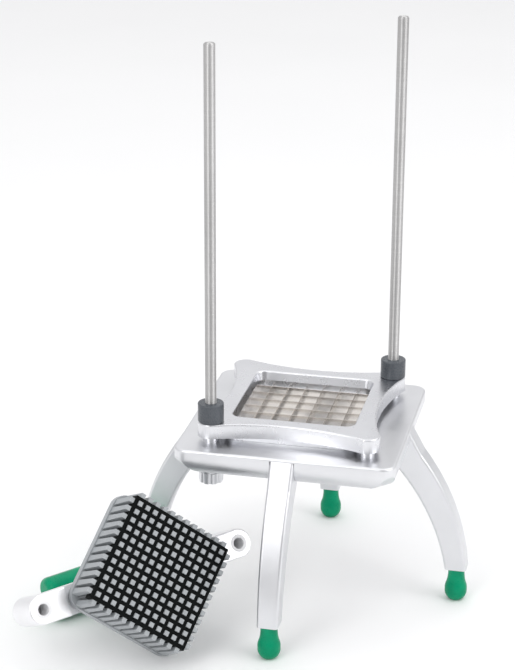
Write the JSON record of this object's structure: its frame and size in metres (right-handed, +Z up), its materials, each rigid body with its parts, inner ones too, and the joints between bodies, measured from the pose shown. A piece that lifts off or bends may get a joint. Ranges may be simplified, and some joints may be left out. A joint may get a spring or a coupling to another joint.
{
  "type": "vegetable dicer",
  "caption": "Push-down vegetable dicer: square bladed frame on curved legs with upright guide rods, its finger-studded pusher head with a rubber grip lying loose beside it.",
  "frame": {"origin": "middle of the whole object's footprint, on the floor it stands on", "axes": "+Z up along the guide rods, +X to the right of someone facing the side with the front leg, +Y away from them"},
  "size_m": [0.2995, 0.3058, 0.4202],
  "materials": {
    "cast_aluminium": "polished cast aluminium",
    "head_aluminium": "fine satin cast aluminium",
    "brushed_rod": "ground steel rod",
    "blade_steel": "bright stainless blade",
    "fastener_steel": "plain steel",
    "dark_rubber": "dark grey matt rubber",
    "green_rubber": "green moulded rubber",
    "white_plastic": "white low-friction plastic",
    "grey_plastic": "light grey moulded plastic",
    "black_rubber": "black soft rubber"
  },
  "bodies": {
    "base": {"base_casting": "cast_aluminium", "leg_front": "cast_aluminium", "leg_right": "cast_aluminium", "leg_back": "cast_aluminium", "leg_left": "cast_aluminium", "foot_front": "green_rubber", "foot_right": "green_rubber", "foot_back": "green_rubber", "foot_left": "green_rubber", "leg_screws": "fastener_steel", "guide_rod_left": "brushed_rod", "guide_rod_right": "brushed_rod", "bumper_left": "dark_rubber", "bumper_right": "dark_rubber", "rod_washers": "fastener_steel", "frame_posts": "cast_aluminium", "frame_screws": "fastener_steel", "blade_frame": "cast_aluminium", "blade_carrier": "cast_aluminium", "upper_blades": "blade_steel", "lower_blades": "blade_steel"},
    "pusher_head": {"head_casting": "head_aluminium", "lower_bushings": "white_plastic", "upper_bushings": "white_plastic", "pusher_block": "grey_plastic", "cleaning_gasket": "black_rubber", "block_screws": "fastener_steel", "handle_stem": "head_aluminium", "stem_screws": "fastener_steel", "handle_grip": "green_rubber"},
    "knob_left": {"rod_knob_left": "cast_aluminium"},
    "knob_right": {"rod_knob_right": "cast_aluminium"}
  },
  "joints": [
    {"name": "head_lift", "type": "slide", "parent": "base", "child": "pusher_head", "axis": [-0.4511, -0.5514, 0.7018], "range_m": [0, 0.25]},
    {"name": "left_knob_turn", "type": "hinge", "parent": "base", "child": "knob_left", "pos_m": [-0.03035, -0.02723, 0.106], "axis": [0, 0, 1], "range_deg": [0, 360]},
    {"name": "right_knob_turn", "type": "hinge", "parent": "base", "child": "knob_right", "pos_m": [0.08165, 0.08477, 0.106], "axis": [0, 0, 1], "range_deg": [0, 360]}
  ]
}
